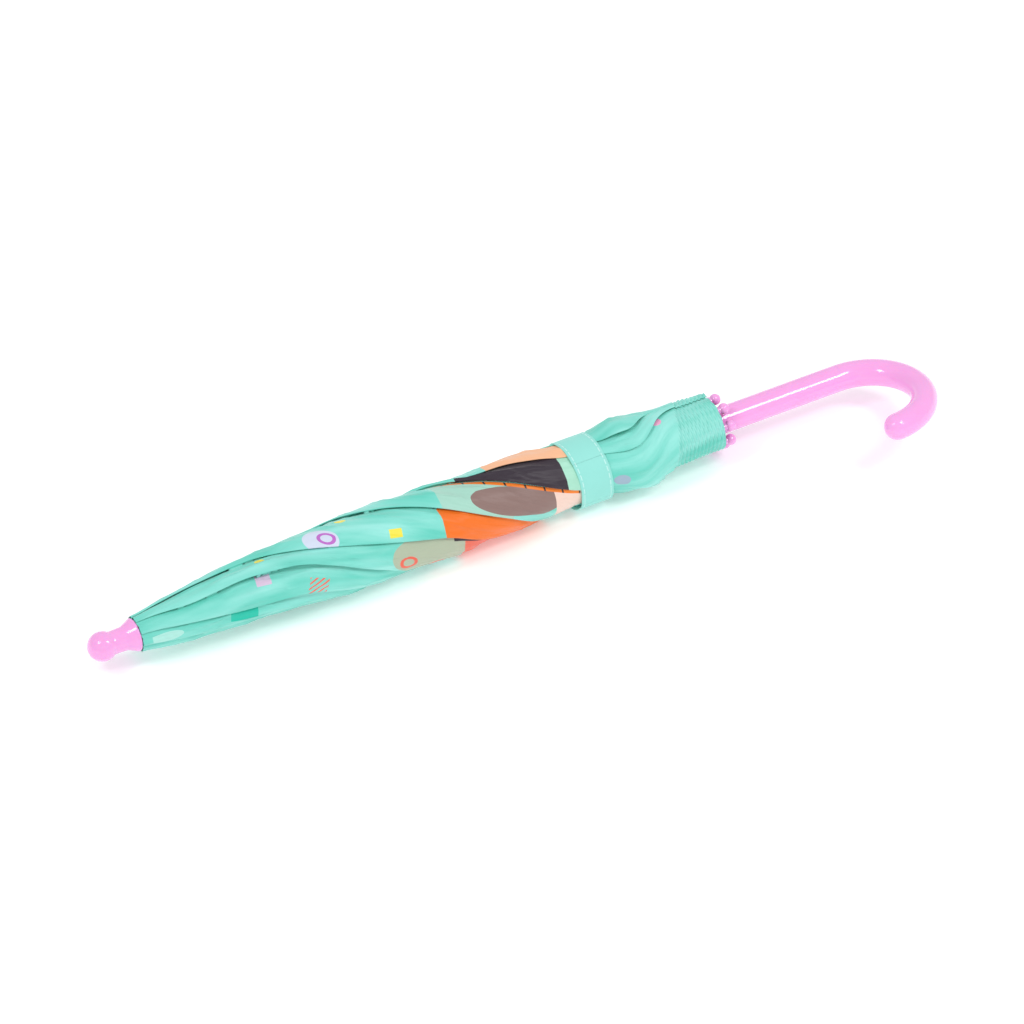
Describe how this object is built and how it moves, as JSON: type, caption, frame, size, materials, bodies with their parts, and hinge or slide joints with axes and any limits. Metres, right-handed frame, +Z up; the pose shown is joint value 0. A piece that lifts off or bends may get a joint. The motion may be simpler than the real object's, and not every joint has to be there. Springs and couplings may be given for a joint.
{
  "type": "umbrella",
  "caption": "Child's stick umbrella with a hooked handle, rolled up and held by a wrap-round strap.",
  "frame": {"origin": "centre of the box at the height of the surface that the rolled umbrella lies on", "axes": "+X along the shaft from ferrule to handle, +Z up, the hook bends towards -Y"},
  "size_m": [0.6346, 0.114, 0.0522],
  "materials": {
    "pink_plastic": "glossy moulded",
    "plated_steel": "bright plated",
    "white_plastic": "satin moulded",
    "canopy_fabric": "printed woven polyester",
    "strap_fabric": "hemmed woven polyester",
    "hook_and_loop": "hook and loop tape"
  },
  "bodies": {
    "root": {"shaft": "plated_steel", "handle": "pink_plastic", "ferrule": "pink_plastic", "notch": "white_plastic", "notch_wire": "plated_steel", "top_washer": "white_plastic", "stop_pin": "plated_steel"},
    "rib_1": {"rib_1": "plated_steel", "tip_1": "pink_plastic", "pivot_1": "plated_steel"},
    "rib_2": {"rib_2": "plated_steel", "tip_2": "pink_plastic", "pivot_2": "plated_steel"},
    "rib_3": {"rib_3": "plated_steel", "tip_3": "pink_plastic", "pivot_3": "plated_steel"},
    "rib_4": {"rib_4": "plated_steel", "tip_4": "pink_plastic", "pivot_4": "plated_steel"},
    "rib_5": {"rib_5": "plated_steel", "tip_5": "pink_plastic", "pivot_5": "plated_steel"},
    "rib_6": {"rib_6": "plated_steel", "tip_6": "pink_plastic", "pivot_6": "plated_steel"},
    "rib_7": {"rib_7": "plated_steel", "tip_7": "pink_plastic", "pivot_7": "plated_steel"},
    "rib_8": {"rib_8": "plated_steel", "tip_8": "pink_plastic", "pivot_8": "plated_steel"},
    "stretcher_1": {"stretcher_1": "plated_steel"},
    "stretcher_2": {"stretcher_2": "plated_steel"},
    "stretcher_3": {"stretcher_3": "plated_steel"},
    "stretcher_4": {"stretcher_4": "plated_steel"},
    "stretcher_5": {"stretcher_5": "plated_steel"},
    "stretcher_6": {"stretcher_6": "plated_steel"},
    "stretcher_7": {"stretcher_7": "plated_steel"},
    "stretcher_8": {"stretcher_8": "plated_steel"},
    "runner": {"runner": "white_plastic", "runner_wire": "plated_steel"},
    "gore_1": {"gore_1": "canopy_fabric"},
    "gore_2": {"gore_2": "canopy_fabric"},
    "gore_3": {"gore_3": "canopy_fabric"},
    "gore_4": {"gore_4": "canopy_fabric"},
    "gore_5": {"gore_5": "canopy_fabric"},
    "gore_6": {"gore_6": "canopy_fabric"},
    "gore_7": {"gore_7": "canopy_fabric"},
    "gore_8": {"gore_8": "canopy_fabric"},
    "strap_1": {"strap_1": "strap_fabric", "loop_pad": "hook_and_loop"},
    "strap_2": {"strap_2": "strap_fabric"},
    "strap_3": {"strap_3": "strap_fabric"},
    "strap_4": {"strap_4": "strap_fabric"},
    "strap_tab": {"strap_tab": "strap_fabric", "hook_pad": "hook_and_loop"},
    "lower_catch": {"lower_catch": "plated_steel"},
    "upper_catch": {"upper_catch": "plated_steel"}
  },
  "joints": [
    {"name": "rib_1_swing", "type": "hinge", "parent": "root", "child": "rib_1", "pos_m": [-0.27482, 0.03015, 0.03059], "axis": [0.0011, -0.9511, -0.309], "range_deg": [0, 66.5], "deforming": ["gore_1", "gore_2", "gore_3", "gore_4", "gore_5", "gore_6", "gore_7", "gore_8", "strap_1", "strap_2", "strap_3", "strap_4", "strap_tab", "hook_pad", "loop_pad", "lower_catch", "upper_catch"]},
    {"name": "rib_2_swing", "type": "hinge", "parent": "root", "child": "rib_2", "pos_m": [-0.27481, 0.02665, 0.0276], "axis": [0.0031, -0.454, -0.891], "range_deg": [0, 66.5]},
    {"name": "rib_3_swing", "type": "hinge", "parent": "root", "child": "rib_3", "pos_m": [-0.27479, 0.02629, 0.02303], "axis": [0.0033, 0.309, -0.9511], "range_deg": [0, 66.5]},
    {"name": "rib_4_swing", "type": "hinge", "parent": "root", "child": "rib_4", "pos_m": [-0.27478, 0.02928, 0.01953], "axis": [0.0016, 0.891, -0.454], "range_deg": [0, 66.5]},
    {"name": "rib_5_swing", "type": "hinge", "parent": "root", "child": "rib_5", "pos_m": [-0.27478, 0.03385, 0.01917], "axis": [-0.0011, 0.9511, 0.309], "range_deg": [0, 66.5]},
    {"name": "rib_6_swing", "type": "hinge", "parent": "root", "child": "rib_6", "pos_m": [-0.27479, 0.03735, 0.02216], "axis": [-0.0031, 0.454, 0.891], "range_deg": [0, 66.5]},
    {"name": "rib_7_swing", "type": "hinge", "parent": "root", "child": "rib_7", "pos_m": [-0.27481, 0.03771, 0.02673], "axis": [-0.0033, -0.309, 0.9511], "range_deg": [0, 66.5]},
    {"name": "rib_8_swing", "type": "hinge", "parent": "root", "child": "rib_8", "pos_m": [-0.27482, 0.03472, 0.03023], "axis": [-0.0016, -0.891, 0.454], "range_deg": [0, 66.5]},
    {"name": "stretcher_1_fold", "type": "hinge", "parent": "rib_1", "child": "stretcher_1", "pos_m": [-0.07486, 0.0291, 0.03451], "axis": [0.0011, -0.9511, -0.309], "range_deg": [-133, 0]},
    {"name": "stretcher_2_fold", "type": "hinge", "parent": "rib_2", "child": "stretcher_2", "pos_m": [-0.07484, 0.02363, 0.02984], "axis": [0.0031, -0.454, -0.891], "range_deg": [-133, 0]},
    {"name": "stretcher_3_fold", "type": "hinge", "parent": "rib_3", "child": "stretcher_3", "pos_m": [-0.07482, 0.02307, 0.02268], "axis": [0.0033, 0.309, -0.9511], "range_deg": [-133, 0]},
    {"name": "stretcher_4_fold", "type": "hinge", "parent": "rib_4", "child": "stretcher_4", "pos_m": [-0.0748, 0.02774, 0.01721], "axis": [0.0016, 0.891, -0.454], "range_deg": [-133, 0]},
    {"name": "stretcher_5_fold", "type": "hinge", "parent": "rib_5", "child": "stretcher_5", "pos_m": [-0.0748, 0.0349, 0.01664], "axis": [-0.0011, 0.9511, 0.309], "range_deg": [-133, 0]},
    {"name": "stretcher_6_fold", "type": "hinge", "parent": "rib_6", "child": "stretcher_6", "pos_m": [-0.07482, 0.04037, 0.02131], "axis": [-0.0031, 0.454, 0.891], "range_deg": [-133, 0]},
    {"name": "stretcher_7_fold", "type": "hinge", "parent": "rib_7", "child": "stretcher_7", "pos_m": [-0.07484, 0.04093, 0.02848], "axis": [-0.0033, -0.309, 0.9511], "range_deg": [-133, 0]},
    {"name": "stretcher_8_fold", "type": "hinge", "parent": "rib_8", "child": "stretcher_8", "pos_m": [-0.07486, 0.03626, 0.03395], "axis": [-0.0016, -0.891, 0.454], "range_deg": [-133, 0]},
    {"name": "runner_slide_pivot", "type": "hinge", "parent": "stretcher_1", "child": "runner", "pos_m": [0.12512, 0.03015, 0.03198], "axis": [0.0011, -0.9511, -0.309], "range_deg": [0, 66.5]},
    {"name": "gore_1_spread", "type": "hinge", "parent": "rib_1", "child": "gore_1", "pos_m": [-0.27482, 0.02778, 0.02982], "axis": [-0.5158, 0.5555, -0.6522], "range_deg": [0, 48.46]},
    {"name": "gore_2_spread", "type": "hinge", "parent": "rib_2", "child": "gore_2", "pos_m": [-0.2748, 0.02553, 0.02539], "axis": [-0.5179, 0.8527, -0.0689], "range_deg": [0, 48.46]},
    {"name": "gore_3_spread", "type": "hinge", "parent": "rib_3", "child": "gore_3", "pos_m": [-0.27479, 0.02706, 0.02066], "axis": [-0.52, 0.6504, 0.5537], "range_deg": [0, 48.46]},
    {"name": "gore_4_spread", "type": "hinge", "parent": "rib_4", "child": "gore_4", "pos_m": [-0.27478, 0.03149, 0.01841], "axis": [-0.5211, 0.0671, 0.8509], "range_deg": [0, 48.46]},
    {"name": "gore_5_spread", "type": "hinge", "parent": "rib_5", "child": "gore_5", "pos_m": [-0.27478, 0.03622, 0.01994], "axis": [-0.5204, -0.5555, 0.6486], "range_deg": [0, 48.46]},
    {"name": "gore_6_spread", "type": "hinge", "parent": "rib_6", "child": "gore_6", "pos_m": [-0.2748, 0.03847, 0.02437], "axis": [-0.5183, -0.8527, 0.0653], "range_deg": [0, 48.46]},
    {"name": "gore_7_spread", "type": "hinge", "parent": "rib_7", "child": "gore_7", "pos_m": [-0.27481, 0.03694, 0.0291], "axis": [-0.5161, -0.6504, -0.5573], "range_deg": [0, 48.46]},
    {"name": "gore_8_spread", "type": "hinge", "parent": "rib_8", "child": "gore_8", "pos_m": [-0.27482, 0.03251, 0.03135], "axis": [-0.5151, -0.0671, -0.8545], "range_deg": [0, 48.46]},
    {"name": "strap_1_unroll", "type": "hinge", "parent": "rib_5", "child": "strap_1", "pos_m": [0.06175, 0.01419, 0.01214], "axis": [1, 0, 0.0035], "range_deg": [-52, 0]},
    {"name": "strap_2_unroll", "type": "hinge", "parent": "strap_1", "child": "strap_2", "pos_m": [0.06176, 0.04496, 0.00754], "axis": [1, 0, 0.0035], "range_deg": [-86, 0]},
    {"name": "strap_3_unroll", "type": "hinge", "parent": "strap_2", "child": "strap_3", "pos_m": [0.06166, 0.05117, 0.03803], "axis": [1, 0, 0.0035], "range_deg": [-86, 0]},
    {"name": "strap_4_unroll", "type": "hinge", "parent": "strap_3", "child": "strap_4", "pos_m": [0.06163, 0.02104, 0.04582], "axis": [1, 0, 0.0035], "range_deg": [-86, 0]},
    {"name": "strap_tab_peel", "type": "hinge", "parent": "strap_4", "child": "strap_tab", "pos_m": [0.06174, 0.00904, 0.01485], "axis": [1, 0, 0.0035], "range_deg": [-70, 0]},
    {"name": "lower_catch_press", "type": "slide", "parent": "root", "child": "lower_catch", "axis": [0.0027, 0.6494, -0.7604], "range_m": [0, 0.0025], "stiffness_N_per_m": 400},
    {"name": "upper_catch_press", "type": "slide", "parent": "root", "child": "upper_catch", "axis": [0.0027, 0.6494, -0.7604], "range_m": [0, 0.0025], "stiffness_N_per_m": 400}
  ],
  "couplings": [
    {"joint": "rib_2_swing", "follows": "rib_1_swing", "ratio": 1},
    {"joint": "rib_3_swing", "follows": "rib_1_swing", "ratio": 1},
    {"joint": "rib_4_swing", "follows": "rib_1_swing", "ratio": 1},
    {"joint": "rib_5_swing", "follows": "rib_1_swing", "ratio": 1},
    {"joint": "rib_6_swing", "follows": "rib_1_swing", "ratio": 1},
    {"joint": "rib_7_swing", "follows": "rib_1_swing", "ratio": 1},
    {"joint": "rib_8_swing", "follows": "rib_1_swing", "ratio": 1},
    {"joint": "stretcher_1_fold", "follows": "rib_1_swing", "ratio": -2},
    {"joint": "stretcher_2_fold", "follows": "rib_1_swing", "ratio": -2},
    {"joint": "stretcher_3_fold", "follows": "rib_1_swing", "ratio": -2},
    {"joint": "stretcher_4_fold", "follows": "rib_1_swing", "ratio": -2},
    {"joint": "stretcher_5_fold", "follows": "rib_1_swing", "ratio": -2},
    {"joint": "stretcher_6_fold", "follows": "rib_1_swing", "ratio": -2},
    {"joint": "stretcher_7_fold", "follows": "rib_1_swing", "ratio": -2},
    {"joint": "stretcher_8_fold", "follows": "rib_1_swing", "ratio": -2},
    {"joint": "runner_slide_pivot", "follows": "rib_1_swing", "ratio": 1},
    {"joint": "gore_1_spread", "follows": "rib_1_swing", "ratio": 0.72854},
    {"joint": "gore_2_spread", "follows": "rib_1_swing", "ratio": 0.72854},
    {"joint": "gore_3_spread", "follows": "rib_1_swing", "ratio": 0.72854},
    {"joint": "gore_4_spread", "follows": "rib_1_swing", "ratio": 0.72854},
    {"joint": "gore_5_spread", "follows": "rib_1_swing", "ratio": 0.72854},
    {"joint": "gore_6_spread", "follows": "rib_1_swing", "ratio": 0.72854},
    {"joint": "gore_7_spread", "follows": "rib_1_swing", "ratio": 0.72854},
    {"joint": "gore_8_spread", "follows": "rib_1_swing", "ratio": 0.72854},
    {"joint": "strap_1_unroll", "follows": "rib_1_swing", "ratio": -0.78195},
    {"joint": "strap_2_unroll", "follows": "rib_1_swing", "ratio": -1.2932},
    {"joint": "strap_3_unroll", "follows": "rib_1_swing", "ratio": -1.2932},
    {"joint": "strap_4_unroll", "follows": "rib_1_swing", "ratio": -1.2932}
  ]
}
